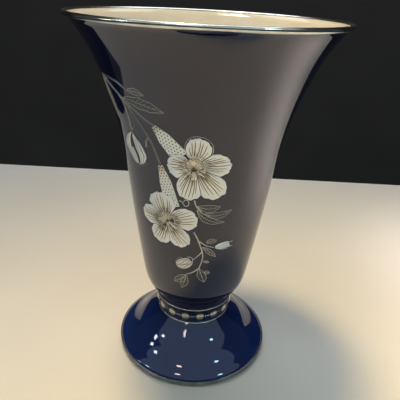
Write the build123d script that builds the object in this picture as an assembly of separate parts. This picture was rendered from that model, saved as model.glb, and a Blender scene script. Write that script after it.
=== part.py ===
from build123d import *
import os
from math import atan2, cos, degrees, hypot, radians, sin, sqrt

# A trumpet-shaped porcelain vase on a hollow pedestal foot, in millimetres.
# It stands on Z = 0, its axis is Z, and the silver spray is on its front, -Y.
# A lean is the angle of the wall from upright, outward on the way up, in degrees.

# Overall size, over the silver of the lip
HEIGHT = 240.0
LIP_RADIUS = 83.0
LIP_LEAN_ANGLE = 38.5

# The glazed outside of the body: the flare's waist, the belly, the heel and the seam on the neck
WAIST_RADIUS = 49.2
WAIST_HEIGHT = 148.8
WAIST_LEAN_ANGLE = 6.0
BELLY_RADIUS = 39.2
BELLY_HEIGHT = 73.6
BELLY_LEAN_ANGLE = 8.6
HEEL_RADIUS = 35.4
HEEL_HEIGHT = 58.0
HEEL_LEAN_ANGLE = 24.0
SEAM_RADIUS = 26.4
SEAM_HEIGHT = 55.1
SEAM_LEAN_ANGLE = 80.0

# The body's wall, glaze included
LIP_THICKNESS = 2.0
WAIST_WALL = 3.6
BELLY_WALL = 4.4
FLOOR_WALL = 7.0

# The glazed outside of the foot, from its edge up to the collar
FOOT_RADIUS = 57.4
FOOT_EDGE_HEIGHT = 3.0
FOOT_EDGE_UNDERCUT = 1.2
FOOT_EDGE_LEAN_ANGLE = 57.0
BRIM_RADIUS = 52.0
BRIM_HEIGHT = 9.0
BRIM_LEAN_ANGLE = -64.0
BELL_RADIUS = 42.5
BELL_HEIGHT = 16.9
BELL_LEAN_ANGLE = -39.6
DOME_RADIUS = 35.0
DOME_HEIGHT = 24.4
DOME_LEAN_ANGLE = -52.8
COLLAR_LOW_RADIUS = 27.9
COLLAR_LOW_HEIGHT = 32.2
COLLAR_LOW_LEAN_ANGLE = -20.0
COLLAR_TOP_RADIUS = 27.0
COLLAR_TOP_HEIGHT = 43.7
COLLAR_TOP_LEAN_ANGLE = -4.0

# The foot's wall, its resting ring and the joint with the body
FOOT_WALL = 5.0
RING_WIDTH = 5.0
RING_CHAMFER = 0.6
HOLLOW_LEAN_ANGLE = -20.0
NECK_BORE_RADIUS = 21.5
NECK_BORE_HEIGHT = 29.0
SPIGOT_DEPTH = 4.0
SPIGOT_CLEARANCE = 0.4
SLIP_THICKNESS = 0.6

# The coats: cobalt glaze on the porcelain, silver on the glaze, and the hairline between
GLAZE = 0.4
SILVER = 0.3
BOND = 0.3
GLAZE_CLEARANCE = 0.8

# The plain silver lines
LIP_BAND_OUTSIDE = 0.8
LIP_BAND_INSIDE = 3.0
FOOT_BAND_WIDTH = 4.6
RAIL_WIDTH = 1.0
RAIL_HEIGHT = 0.5
BEAD_COUNT = 16
BEAD_RADIUS = 3.2
BEAD_HEIGHT = 1.7
LINK_WIDTH = 0.6

# The spray is drawn flat, square on to the side at this turn from the front,
# about a point this far below the middle of the body's side
SPRAY_TURN = -18.0
SPRAY_DROP = 5.1
PARTING = 0.25
HEART_RADIUS = 4.8
STEM_WIDTH = 1.0
STEM_TIP_WIDTH = 0.6
LEAF_RIM = 0.55
LEAF_RIB = 0.5

# Blossoms: the heart across and up, then the petals' angles in degrees, reaches and widths.
# The shares say how wide a petal is at its root and how far out it is widest.
UPPER_HEART = (12.8, 24.0)
UPPER_ANGLES = (77, 3, -57, -102, -171)
UPPER_REACHES = (17.4, 18.6, 24.2, 22.8, 15.8)
UPPER_WIDTHS = (13.4, 14.4, 14.4, 14.2, 16.6)
LOWER_HEART = (-4.8, -15.8)
LOWER_ANGLES = (106, 14, -55, -111, 175)
LOWER_REACHES = (19.4, 19.6, 21.0, 19.0, 18.0)
LOWER_WIDTHS = (20.0, 15.6, 12.8, 14.6, 13.4)
ROOT_SHARE = 0.45
WIDEST_SHARE = 0.66

# Flower tubes: both ends and the width at each, then the shares of its length and its
# mouth where a tube has swollen
UPPER_TUBE = ((-9.4, 45.2), (5.2, 28.6))
UPPER_TUBE_STALK = 3.2
UPPER_TUBE_MOUTH = 10.6
LOWER_TUBE = ((-7.4, 21.4), (-0.6, -5.0))
LOWER_TUBE_STALK = 3.4
LOWER_TUBE_MOUTH = 9.4
SWELL_AT = 0.4
SWELL_SHARE = 0.84

# Buds: base, tip and greatest width
HANGING_BUD = ((-26.6, 37.6), (-20.8, 15.6))
HANGING_BUD_WIDTH = 11.6
ROUND_BUD = ((11.2, -43.8), (1.2, -50.2))
ROUND_BUD_WIDTH = 9.6
SIDE_BUD = ((24.0, -33.6), (33.4, -31.4))
SIDE_BUD_WIDTH = 6.0

# Stems: the points that each one runs through
MAIN_STEMS = (
    ((-45.0, 67.4), (-31.4, 58.2), (-17.6, 49.6), (-10.4, 45.6)),
    ((-31.4, 58.2), (-23.8, 50.6), (-13.5, 36.8), (-7.6, 22.6)),
    ((-33.4, 60.0), (-29.4, 54.6), (-27.4, 46.6), (-26.6, 38.6)),
    ((-45.0, 67.4), (-32.4, 66.2), (-24.6, 62.8)),
)
MIDDLE_STEM = ((12.6, 1.4), (13.8, -2.8), (17.4, -7.4))
SPRIG_STEMS = (
    ((12.2, -21.4), (14.8, -27.8), (17.4, -40.0), (15.2, -50.6)),
    ((17.2, -36.4), (14.9, -39.6), (12.0, -43.2)),
    ((15.6, -50.0), (12.0, -53.6), (7.0, -56.6)),
    ((15.2, -28.2), (19.4, -31.6), (23.6, -33.4)),
)
SCROLL_CENTRE = (6.8, -1.0)
SCROLL_RADIUS = 2.3

# Leaves: base, tip, width and the sideways bow of the midrib
EDGE_LEAF = ((-45.2, 66.2), (-37.4, 42.0), 4.6, -0.8)
UPPER_LEAVES = (
    ((-24.2, 62.6), (-12.8, 61.6), 3.4, 0.6),
    ((-28.6, 57.6), (-2.2, 53.7), 6.0, 0.6),
)
MIDDLE_LEAVES = (
    ((14.2, -2.6), (26.6, -2.6), 5.0, -1.6),
    ((18.0, -7.6), (32.4, -5.8), 4.4, -2.4),
    ((14.0, -5.0), (28.9, -14.2), 4.6, -2.8),
)
SPRIG_LEAVES = (
    ((17.2, -32.8), (24.6, -41.2), 3.2, 0.4),
    ((19.4, -29.4), (25.2, -27.6), 3.4, 0.2),
    ((17.6, -44.6), (21.0, -45.4), 1.8, 0.0),
    ((15.4, -51.0), (18.3, -63.0), 5.0, -0.2),
    ((17.8, -54.0), (21.4, -55.0), 3.0, 0.2),
    ((6.6, -57.0), (-1.3, -64.6), 5.4, 0.6),
    ((7.0, -57.2), (3.6, -69.4), 4.6, 0.4),
)


class Arc:
    """A round stretch of a profile in (radius, height), walked from start to end."""

    def __init__(self, start, direction, end):
        chord = (end[0] - start[0], end[1] - start[1])
        turn = direction[0] * chord[1] - direction[1] * chord[0]
        ahead = direction[0] * chord[0] + direction[1] * chord[1]
        self.start = start
        self.direction = direction
        self.sweep = 2 * atan2(turn, ahead)
        self.radius = hypot(*chord) / (2 * sin(self.sweep / 2))
        self.centre = (start[0] - direction[1] * self.radius, start[1] + direction[0] * self.radius)
        self.length = abs(self.radius * self.sweep)

    def turned(self, vector, share):
        angle = self.sweep * share
        across = vector[0] * cos(angle) - vector[1] * sin(angle)
        up = vector[0] * sin(angle) + vector[1] * cos(angle)
        return across, up

    def point(self, share, offset=0.0):
        """A point a share of the way along, moved out to the right by the offset."""
        spoke = (self.start[0] - self.centre[0], self.start[1] - self.centre[1])
        across, up = self.turned(spoke, share)
        reach = 1 + offset / self.radius
        return self.centre[0] + across * reach, self.centre[1] + up * reach

    def part(self, first, last):
        return Arc(self.point(first), self.turned(self.direction, first), self.point(last))

    def back(self):
        across, up = self.turned(self.direction, 1)
        return Arc(self.point(1), (-across, -up), self.start)


def station(radius, height, lean):
    return radius, height, lean


def inset(place, depth):
    """The station straight behind another, this deep in the wall."""
    radius, height, lean = place
    return radius - depth * cos(radians(lean)), height + depth * sin(radians(lean)), lean


def two_arcs(low, high):
    """Two tangent arcs from one station to the next, keeping both leans."""
    leave = (sin(radians(low[2])), cos(radians(low[2])))
    arrive = (sin(radians(high[2])), cos(radians(high[2])))
    chord = (high[0] - low[0], high[1] - low[1])
    both = chord[0] * (leave[0] + arrive[0]) + chord[1] * (leave[1] + arrive[1])
    bend = 2 * (1 - leave[0] * arrive[0] - leave[1] * arrive[1])
    square = chord[0] ** 2 + chord[1] ** 2
    reach = square / (both + sqrt(both ** 2 + bend * square))
    middle = (
        (low[0] + high[0] + reach * (leave[0] - arrive[0])) / 2,
        (low[1] + high[1] + reach * (leave[1] - arrive[1])) / 2,
    )
    lower = Arc(low[:2], leave, middle)
    upper = Arc(high[:2], (-arrive[0], -arrive[1]), middle).back()
    return [lower, upper]


def profile(*stations):
    arcs = []
    for low, high in zip(stations, stations[1:]):
        arcs += two_arcs(low, high)
    return arcs


def stretch(arcs, first, last):
    """The part of a profile between two lengths along it."""
    parts = []
    walked = 0.0
    for arc in arcs:
        begin = max(first - walked, 0.0)
        end = min(last - walked, arc.length)
        if end > begin:
            parts.append(arc.part(begin / arc.length, end / arc.length))
        walked += arc.length
    return parts


def length_of(arcs):
    return sum(arc.length for arc in arcs)


def on_section(point):
    return point[0], 0, point[1]


def edges(arcs, offset):
    return [ThreePointArc(*(on_section(arc.point(share, offset)) for share in (0, 0.5, 1))) for arc in arcs]


def lines(*points):
    return [Line(on_section(a), on_section(b)) for a, b in zip(points, points[1:])]


def turn(section, angle=360):
    """Revolve a section about the axis, from +X by way of the front."""
    return revolve(make_face(section), Axis((0, 0, 0), (0, 0, -1)), angle)


def coat(arcs, inner, outer, angle=360):
    """A layer that follows a profile between two offsets from it."""
    foot = lines(arcs[0].point(0, inner), arcs[0].point(0, outer))
    head = lines(arcs[-1].point(1, outer), arcs[-1].point(1, inner))
    return turn(foot + edges(arcs, outer) + head + edges(arcs, inner), angle)


# Profiles of the body, outside and inside, and of the rounded lip between them
lip_round = LIP_THICKNESS / 2
lip_cover = SILVER + BOND
lip_centre = station(LIP_RADIUS - lip_cover - lip_round, HEIGHT - lip_cover - lip_round, LIP_LEAN_ANGLE)
lip_outside = inset(lip_centre, -lip_round)
lip_inside = inset(lip_centre, lip_round)
waist = station(WAIST_RADIUS, WAIST_HEIGHT, WAIST_LEAN_ANGLE)
belly = station(BELLY_RADIUS, BELLY_HEIGHT, BELLY_LEAN_ANGLE)
heel = station(HEEL_RADIUS, HEEL_HEIGHT, HEEL_LEAN_ANGLE)
seam = station(SEAM_RADIUS, SEAM_HEIGHT, SEAM_LEAN_ANGLE)
under_glaze = GLAZE + BOND
seat_height = inset(seam, under_glaze)[1]
floor_centre = station(0, seat_height + FLOOR_WALL, 90)

body_side = profile(seam, heel, belly, waist, lip_outside)
body_inside = profile(floor_centre, inset(belly, BELLY_WALL), inset(waist, WAIST_WALL), lip_inside)
lip_direction = (sin(radians(LIP_LEAN_ANGLE)), cos(radians(LIP_LEAN_ANGLE)))
lip_tip = (lip_centre[0] + lip_round * lip_direction[0], lip_centre[1] + lip_round * lip_direction[1])
lip_rise = Arc(lip_outside[:2], lip_direction, lip_tip)
lip_fall = Arc(lip_tip, lip_rise.turned(lip_direction, 1), lip_inside[:2])
lip = [lip_rise, lip_fall]
inside_down = [arc.back() for arc in reversed(body_inside)]

# Profile of the foot, from under its edge to the top of the neck, and of its hollow
neck_top = seat_height - SLIP_THICKNESS
ring_outside = FOOT_RADIUS - FOOT_EDGE_UNDERCUT
collar_low = station(COLLAR_LOW_RADIUS, COLLAR_LOW_HEIGHT, COLLAR_LOW_LEAN_ANGLE)
collar_top = station(COLLAR_TOP_RADIUS, COLLAR_TOP_HEIGHT, COLLAR_TOP_LEAN_ANGLE)
bell = station(BELL_RADIUS, BELL_HEIGHT, BELL_LEAN_ANGLE)
dome = station(DOME_RADIUS, DOME_HEIGHT, DOME_LEAN_ANGLE)
foot_edge = profile(
    station(ring_outside, GLAZE_CLEARANCE, FOOT_EDGE_LEAN_ANGLE),
    station(FOOT_RADIUS, FOOT_EDGE_HEIGHT, 0),
    station(BRIM_RADIUS, BRIM_HEIGHT, BRIM_LEAN_ANGLE),
    bell,
    dome,
    collar_low,
)
collar = profile(collar_low, collar_top)
neck = profile(collar_top, station(SEAM_RADIUS, neck_top, 0))
foot_side = foot_edge + collar + neck
ring_inside = ring_outside - RING_CHAMFER - RING_WIDTH
foot_hollow = profile(
    station(ring_inside, 0, HOLLOW_LEAN_ANGLE),
    inset(bell, FOOT_WALL),
    inset(dome, FOOT_WALL),
    station(NECK_BORE_RADIUS, NECK_BORE_HEIGHT, 0),
)


def make_body():
    """The porcelain trumpet, closed by its floor, with the spigot that drops into the neck."""
    spigot = NECK_BORE_RADIUS - SPIGOT_CLEARANCE
    spigot_end = seat_height - SPIGOT_DEPTH
    outside = edges(body_side, -under_glaze) + edges(lip, -under_glaze)
    ledge = lines(lip_fall.point(1, -under_glaze), lip_inside[:2])
    stub = lines(
        floor_centre[:2],
        (0, spigot_end),
        (spigot, spigot_end),
        (spigot, seat_height),
        body_side[0].point(0, -under_glaze),
    )
    return turn(outside + ledge + edges(inside_down, 0) + stub)


def make_foot():
    """The hollow porcelain pedestal with its unglazed resting ring."""
    top = lines(foot_side[-1].point(1, -under_glaze), (NECK_BORE_RADIUS, neck_top), foot_hollow[-1].point(1))
    base = lines((ring_inside, 0), (ring_outside - RING_CHAMFER, 0), foot_side[0].point(0, -under_glaze))
    return turn(base + edges(foot_side, -under_glaze) + top + edges(foot_hollow, 0))


def make_slip():
    """The ring of slip that lutes the body to the neck."""
    inner = NECK_BORE_RADIUS
    outer = SEAM_RADIUS - GLAZE
    corners = ((inner, neck_top), (outer, neck_top), (outer, seat_height), (inner, seat_height))
    return turn(lines(*corners, corners[0]))


def silver(arcs, height=SILVER):
    return coat(arcs, BOND, BOND + height)


def make_lip_band():
    """Silver over the rounded lip, with a short skirt outside and a longer one inside."""
    side_length = length_of(body_side)
    skirt = stretch(body_side, side_length - LIP_BAND_OUTSIDE, side_length)
    lining = stretch(inside_down, 0, LIP_BAND_INSIDE)
    return silver(skirt + lip + lining)


def make_rail(height_along):
    half = RAIL_WIDTH / 2
    return silver(stretch(foot_side, height_along - half, height_along + half), RAIL_HEIGHT)


def bead_turns():
    pitch = 360 / BEAD_COUNT
    return [pitch * (number + 0.5) for number in range(BEAD_COUNT)]


def facing(angle, height):
    """A plane through the axis that looks outward at this turn from the front."""
    across = (cos(radians(angle)), sin(radians(angle)), 0)
    outward = (sin(radians(angle)), -cos(radians(angle)), 0)
    return Plane(origin=(0, 0, height), x_dir=across, z_dir=outward)


def make_beads(place):
    """Low silver domes, each seated on the curve of the collar."""
    base = foot_side[0].point(0, BOND)
    top = foot_side[-1].point(1, BOND)
    core = turn(edges(foot_side, BOND) + lines(top, (0, top[1]), (0, base[1]), base))
    ball = (BEAD_RADIUS ** 2 + BEAD_HEIGHT ** 2) / (2 * BEAD_HEIGHT)
    bead = Pos(0, 0, place[0] + BOND + BEAD_HEIGHT - ball) * Sphere(ball)
    dome = facing(0, place[1]) * bead - core
    return [Rot(0, 0, angle) * dome for angle in bead_turns()]


def make_links(middle, place):
    """Thin silver lines that run from bead to bead."""
    half = LINK_WIDTH / 2
    ring = silver(stretch(collar, middle - half, middle + half))
    from_axis = (Align.CENTER, Align.CENTER, Align.MIN)
    clear = Cylinder(BEAD_RADIUS + PARTING, COLLAR_LOW_RADIUS * 2, align=from_axis)
    return ring - [facing(angle, place[1]) * clear for angle in bead_turns()]


def shifted(origin, angle, along, across):
    """A flat point, given along and across a direction from an origin."""
    turned = radians(angle)
    x = origin[0] + along * cos(turned) - across * sin(turned)
    y = origin[1] + along * sin(turned) + across * cos(turned)
    return x, y


def heading(start, end):
    return degrees(atan2(end[1] - start[1], end[0] - start[0]))


def lobe(base, angle, reach, width, root, grow=0.0):
    """A rounded petal: narrow at its root, widest two thirds out, round at its tip."""
    half = width / 2 + grow
    marks = (
        (root, -half * ROOT_SHARE),
        (reach * WIDEST_SHARE, -half),
        (reach + grow, 0),
        (reach * WIDEST_SHARE, half),
        (root, half * ROOT_SHARE),
    )
    points = [shifted(base, angle, along, across) for along, across in marks]
    return make_face([Spline(*points), Line(points[-1], points[0])])


def blossom(heart, petals):
    """Petals parted half way between their directions, cut out around the heart."""
    far = 3 * max(reach for angle, reach, width in petals)
    eye = Pos(*heart) * Circle(HEART_RADIUS + PARTING)
    faces = []
    for number, (angle, reach, width) in enumerate(petals):
        before = (petals[number - 1][0] - angle) % 360 / 2
        after = (angle - petals[(number + 1) % len(petals)][0]) % 360 / 2
        tip = shifted(heart, angle, PARTING, 0)
        left = shifted(tip, angle + before, far, -PARTING / 2)
        right = shifted(tip, angle - after, far, PARTING / 2)
        wedge = make_face(Polyline(tip, right, shifted(heart, angle, far, 0), left, tip, close=True))
        faces.append(lobe(heart, angle, reach, width, HEART_RADIUS / 2) & wedge - eye)
    return faces


def grown(heart, petals):
    """The blossom's whole outline and a parting line round it."""
    outline = Pos(*heart) * Circle(HEART_RADIUS + PARTING)
    for angle, reach, width in petals:
        outline += lobe(heart, angle, reach, width, HEART_RADIUS / 2, PARTING)
    return outline


def tube(start, end, stalk, mouth):
    """A flower tube that swells from its stalk to the blossom."""
    angle = heading(start, end)
    length = hypot(end[0] - start[0], end[1] - start[1])
    marks = ((0, stalk / 2), (length * SWELL_AT, mouth * SWELL_SHARE / 2), (length, mouth / 2))
    left = [shifted(start, angle, along, across) for along, across in marks]
    right = [shifted(start, angle, along, -across) for along, across in marks]
    return make_face([Spline(*left), Line(left[-1], right[-1]), Spline(*right), Line(left[0], right[0])])


def bud(base, tip, width, grow=0.0):
    angle = heading(base, tip)
    return lobe(base, angle, hypot(tip[0] - base[0], tip[1] - base[1]), width, -grow, grow)


def folds(base, tip, width):
    """A bud of two folded petals, parted along its middle."""
    angle = heading(base, tip)
    length = hypot(tip[0] - base[0], tip[1] - base[1])
    part = Pos(*shifted(base, angle, length / 2, 0)) * Rot(0, 0, angle) * Rectangle(length * 2, PARTING)
    return bud(base, tip, width) - part


def ribbon(points):
    """A stem drawn through points, tapered from root to tip."""
    path = Spline(*points)
    left = []
    right = []
    for number in range(len(points)):
        share = number / (len(points) - 1)
        half = (STEM_WIDTH + (STEM_TIP_WIDTH - STEM_WIDTH) * share) / 2
        middle = path @ share
        slope = path % share
        left.append((middle.X - slope.Y * half, middle.Y + slope.X * half))
        right.append((middle.X + slope.Y * half, middle.Y - slope.X * half))
    return make_face([Spline(*left), Line(left[-1], right[-1]), Spline(*right), Line(left[0], right[0])])


def stems(routes):
    drawn = ribbon(routes[0])
    for route in routes[1:]:
        drawn += ribbon(route)
    return drawn


def lens(base, tip, low, high):
    """The space between two bowed lines that share their ends."""
    angle = heading(base, tip)
    half = hypot(tip[0] - base[0], tip[1] - base[1]) / 2
    lower = Bezier(base, shifted(base, angle, half, 2 * low), tip)
    upper = Bezier(tip, shifted(base, angle, half, 2 * high), base)
    return make_face([lower, upper])


def leaf(base, tip, width, bow):
    """A leaf drawn as its rim and midrib, open between them where there is room."""
    blade = lens(base, tip, bow - width / 2, bow + width / 2)
    rib = LEAF_RIB / 2
    room = width / 2 - LEAF_RIM - rib
    if room < LEAF_RIM:
        return blade
    angle = heading(base, tip)
    length = hypot(tip[0] - base[0], tip[1] - base[1])
    end = 2 * LEAF_RIM / width
    bow_at_end = 4 * bow * end * (1 - end)
    rise = bow - bow_at_end
    for side in (-1, 1):
        near = shifted(base, angle, length * end, bow_at_end + side * rib)
        far = shifted(base, angle, length * (1 - end), bow_at_end + side * rib)
        blade -= lens(near, far, *sorted((rise, rise + side * room)))
    return blade


def leaves(blades, stem):
    """Leaves in turn, each cut clear of its stem and of the leaves before it."""
    taken = [stem]
    drawn = []
    for base, tip, width, bow in blades:
        shape = leaf(base, tip, width, bow)
        for other in taken:
            shape = shape - other
        drawn.append(max(shape.faces(), key=lambda face: face.area))
        taken.append(lens(base, tip, bow - width / 2, bow + width / 2))
    return drawn


spray_middle = (seam[1] + lip_outside[1]) / 2 - SPRAY_DROP
spray_plane = facing(SPRAY_TURN, spray_middle)
spray_coat = Rot(0, 0, SPRAY_TURN) * coat(body_side, BOND, BOND + SILVER, 180)


def overlay(*drawn):
    """Flat shapes carried straight on to the body's side as pieces of silver coat."""
    pieces = []
    for shape in drawn:
        for face in shape.faces():
            block = extrude(spray_plane * face, LIP_RADIUS)
            pieces += (block & spray_coat).solids()
    return pieces


def save(name, pieces):
    whole = pieces[0] if len(pieces) == 1 else Compound(children=pieces)
    export_step(whole, f"parts/{name}.step")


def draw_spray():
    """Every piece of the silver spray, by name, with parting lines where pieces meet."""
    upper = list(zip(UPPER_ANGLES, UPPER_REACHES, UPPER_WIDTHS))
    lower = list(zip(LOWER_ANGLES, LOWER_REACHES, LOWER_WIDTHS))
    upper_outline = grown(UPPER_HEART, upper)
    lower_outline = grown(LOWER_HEART, lower)
    lower_petals = [face - upper_outline for face in blossom(LOWER_HEART, lower)]
    upper_whole_tube = tube(*UPPER_TUBE, UPPER_TUBE_STALK, UPPER_TUBE_MOUTH)
    lower_whole_tube = tube(*LOWER_TUBE, LOWER_TUBE_STALK, LOWER_TUBE_MOUTH)
    lower_tube = lower_whole_tube - upper_outline - lower_outline
    main_stems = stems(MAIN_STEMS) - bud(*HANGING_BUD, HANGING_BUD_WIDTH, PARTING)
    main_stems = main_stems - upper_whole_tube - lower_whole_tube
    middle_stem = ribbon(MIDDLE_STEM) - upper_outline
    sprig_stems = stems(SPRIG_STEMS) - lower_outline
    sprig_stems = sprig_stems - bud(*ROUND_BUD, ROUND_BUD_WIDTH, PARTING)
    sprig_stems = sprig_stems - bud(*SIDE_BUD, SIDE_BUD_WIDTH, PARTING)
    scroll = Pos(*SCROLL_CENTRE) * (Circle(SCROLL_RADIUS) - Circle(SCROLL_RADIUS - STEM_TIP_WIDTH))
    scroll = scroll - upper_outline - lower_outline - lower_tube
    return {
        "upper_blossom_petals": blossom(UPPER_HEART, upper),
        "upper_blossom_heart": [Pos(*UPPER_HEART) * Circle(HEART_RADIUS)],
        "upper_blossom_tube": [upper_whole_tube - upper_outline],
        "lower_blossom_petals": lower_petals,
        "lower_blossom_heart": [Pos(*LOWER_HEART) * Circle(HEART_RADIUS)],
        "lower_blossom_tube": [lower_tube],
        "hanging_bud": [folds(*HANGING_BUD, HANGING_BUD_WIDTH)],
        "round_bud": [bud(*ROUND_BUD, ROUND_BUD_WIDTH)],
        "side_bud": [folds(*SIDE_BUD, SIDE_BUD_WIDTH)],
        "main_stems": [main_stems],
        "edge_leaf": leaves([EDGE_LEAF], main_stems),
        "upper_leaves": leaves(UPPER_LEAVES, main_stems),
        "middle_stem": [middle_stem],
        "middle_leaves": leaves(MIDDLE_LEAVES, middle_stem),
        "sprig_stems": [sprig_stems],
        "sprig_leaves": leaves(SPRIG_LEAVES, sprig_stems),
        "scroll": [scroll],
    }


os.makedirs("parts", exist_ok=True)
bead_middle = length_of(collar) / 2
bead_place = stretch(collar, 0, bead_middle)[-1].point(1)

save("trumpet_body", [make_body()])
save("body_glaze", [coat(body_side + lip, -GLAZE, 0)])
save("pedestal_foot", [make_foot()])
save("foot_glaze", [coat(foot_side, -GLAZE, 0)])
save("slip_seam", [make_slip()])
save("lip_band", [make_lip_band()])
save("collar_upper_rail", [make_rail(length_of(foot_edge + collar))])
save("collar_lower_rail", [make_rail(length_of(foot_edge))])
save("collar_beads", make_beads(bead_place))
save("collar_bead_links", make_links(bead_middle, bead_place).solids())
save("foot_band", [silver(stretch(foot_side, 0, FOOT_BAND_WIDTH))])
for name, shapes in draw_spray().items():
    save(name, overlay(*shapes))
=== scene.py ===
from math import atan2, cos, hypot, pi, radians, sin, sqrt, tau

import bmesh
import bpy
import numpy as np
from mathutils import Matrix, Vector


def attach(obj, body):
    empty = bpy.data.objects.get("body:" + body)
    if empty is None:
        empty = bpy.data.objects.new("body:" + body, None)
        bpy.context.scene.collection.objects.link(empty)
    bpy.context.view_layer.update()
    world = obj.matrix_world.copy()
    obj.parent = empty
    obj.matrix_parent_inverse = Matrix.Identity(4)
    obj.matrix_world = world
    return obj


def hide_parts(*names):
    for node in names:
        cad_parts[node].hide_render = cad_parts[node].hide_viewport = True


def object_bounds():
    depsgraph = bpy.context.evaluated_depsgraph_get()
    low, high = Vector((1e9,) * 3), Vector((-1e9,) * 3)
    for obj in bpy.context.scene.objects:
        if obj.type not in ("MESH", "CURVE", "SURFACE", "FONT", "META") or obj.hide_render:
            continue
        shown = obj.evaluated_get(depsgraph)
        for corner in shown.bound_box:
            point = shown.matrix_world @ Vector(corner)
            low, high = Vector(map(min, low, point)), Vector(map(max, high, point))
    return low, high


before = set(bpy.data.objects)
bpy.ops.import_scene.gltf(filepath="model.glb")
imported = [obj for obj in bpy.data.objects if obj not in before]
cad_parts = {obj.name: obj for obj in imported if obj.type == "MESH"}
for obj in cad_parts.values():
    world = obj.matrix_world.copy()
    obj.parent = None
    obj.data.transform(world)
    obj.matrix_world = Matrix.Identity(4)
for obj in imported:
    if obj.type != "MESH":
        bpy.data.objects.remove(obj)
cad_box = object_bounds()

# A trumpet-shaped porcelain vase in cobalt glaze with silver overlay.
# Sizes are in millimetres and degrees, except where a comment says metres.
# The vase stands on Z = 0, its axis is Z and the silver spray is on its front, -Y.
MM = 0.001
SEED = 7

# Fineness of the meshes
SEGMENTS = 256
PROFILE_STEP = 0.6
FEWEST_ROWS = 6
BAND_STEP = 0.1
LINE_STEP = 0.35

# The body's outside: radius, height and lean of its stations
SEAM = (26.4, 55.1, 80.0)
HEEL = (35.4, 58.0, 24.0)
BELLY = (39.2, 73.6, 8.6)
WAIST = (49.2, 148.8, 6.0)
FLARE = (59.42, 195.86, 18.5)

# The lip's curl: how far in and down from the lip it starts, and its leans
CURL_DROP = (4.0, 3.4)
CURL_LEAN = 38.0
LIP_LEAN = 58.0
LIP_THICKNESS = 2.0

# The body's walls with their glaze, and its floor
FLARE_WALL = 2.8
WAIST_WALL = 3.6
BELLY_WALL = 4.4
FLOOR_WALL = 7.0

# The foot's outside stations; the neck's top stands out past the seam, at a lean
FOOT_UNDER = (56.2, 0.8, 57.0)
FOOT_EDGE = (57.4, 3.0, 0.0)
BRIM = (52.0, 9.0, -64.0)
BELL = (42.5, 16.9, -39.6)
DOME = (35.0, 24.4, -52.8)
CORNER = (27.6, 30.2, -50.0)
COLLAR_LOW = (26.6, 31.4, 5.0)
COLLAR_TOP = (28.0, 44.3, 7.4)
NECK_FLARE = (3.7, 18.0)

# The foot's resting ring and hollow, and the joint with the body
FOOT_WALL = 5.0
RING_OUTSIDE = 55.6
RING_INSIDE = 50.6
HOLLOW_LEAN = -20.0
NECK_BORE = (21.5, 29.0, 0.0)
SPIGOT_RADIUS = 21.1
SPIGOT_DEPTH = 4.0
SLIP_THICKNESS = 0.6

# Coats of glaze and silver, the hairline under each, and how silver rounds off at its edges
GLAZE = 0.4
SILVER = 0.3
BOND = 0.1
EDGE_ROUND = 0.45
ROUND_TOP = 1.04

# The plain silver bands, rails, beads and links
LIP_BAND_OUTSIDE = 0.8
LIP_BAND_INSIDE = 1.2
FOOT_BAND_WIDTH = 4.6
RAIL_WIDTH = 1.0
RAIL_HEIGHT = 0.5
BEAD_COUNT = 16
BEAD_RADIUS = 3.2
BEAD_HEIGHT = 1.4
LINK_WIDTH = 0.6

# The spray is drawn flat, across and up, square on to the side at this turn from the front
SPRAY_TURN = -18.0
SPRAY_DROP = 5.1

# Its silver: the parting between pieces, depth of cuts, share of height at an edge, and swell
PARTING = 0.25
ENGRAVED = 0.1
SOFT_EDGE = 0.3
SWELL = 0.1

# Raised lines: height, cross-section, widths from start to end, and offset of a pair; dots
LINE_HEIGHT = 0.16
LINE_SECTION = np.array([-1.0, -0.7, 0.0, 0.7, 1.0])
STEM_WIDTHS = (0.85, 0.55)
FINE_WIDTHS = (0.3, 0.26)
SCROLL_WIDTHS = (0.6, 0.5)
STEM_PAIR = 0.42
DOT_HEIGHT = 0.2

# Petals: direction, reach and width from the heart, and how dark the root is
UPPER_HEART = (12.8, 24.0)
UPPER_PETALS = (
    (77, 17.4, 13.4, 0.12),
    (3, 18.6, 14.4, 0.14),
    (-57, 24.2, 14.4, 0.26),
    (-102, 22.8, 14.2, 0.26),
    (-171, 15.8, 16.6, 0.18),
)
LOWER_HEART = (-4.8, -15.8)
LOWER_PETALS = (
    (106, 19.4, 20.0, 0.26),
    (14, 19.6, 15.6, 0.22),
    (-55, 21.0, 12.8, 0.26),
    (-111, 19.0, 14.6, 0.26),
    (175, 18.0, 13.4, 0.26),
)

# A petal's outline: where it is widest, how far it opens, its two powers, and where its sides
# start outside the heart
PETAL_WIDEST = 0.66
PETAL_OPENING = 1.78
PETAL_SHARPNESS = 2.2
PETAL_ROUNDNESS = 0.79
ROOT_RISE = 1.0

# A petal's grid and skin; ripples of its rim: depth, waves and step from petal to petal
PETAL_ROW = 0.25
PETAL_COLUMN = 0.14
PETAL_MIDDLE = 0.7
PETAL_EDGE = 0.25
PETAL_SWELL = 0.12
SHORTEST_PETAL = 0.4
RIPPLES = ((0.012, 23, 2.1), (0.008, 41, 1.0))

# Veins: count of long ones, then stray, bend, fan, start, ends, fading and width
VEINS = 8
VEIN_STRAY = 0.014
VEIN_BEND = 0.02
VEIN_FAN = (1.06, 0.34)
VEIN_START = 0.16
VEIN_END = (0.93, 0.26)
VEIN_SHORT = 0.34
VEIN_RAGGED = 0.06
VEIN_FADES = (0.1, 0.3)
VEIN_WIDTH = (0.13, 0.08)

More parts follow.
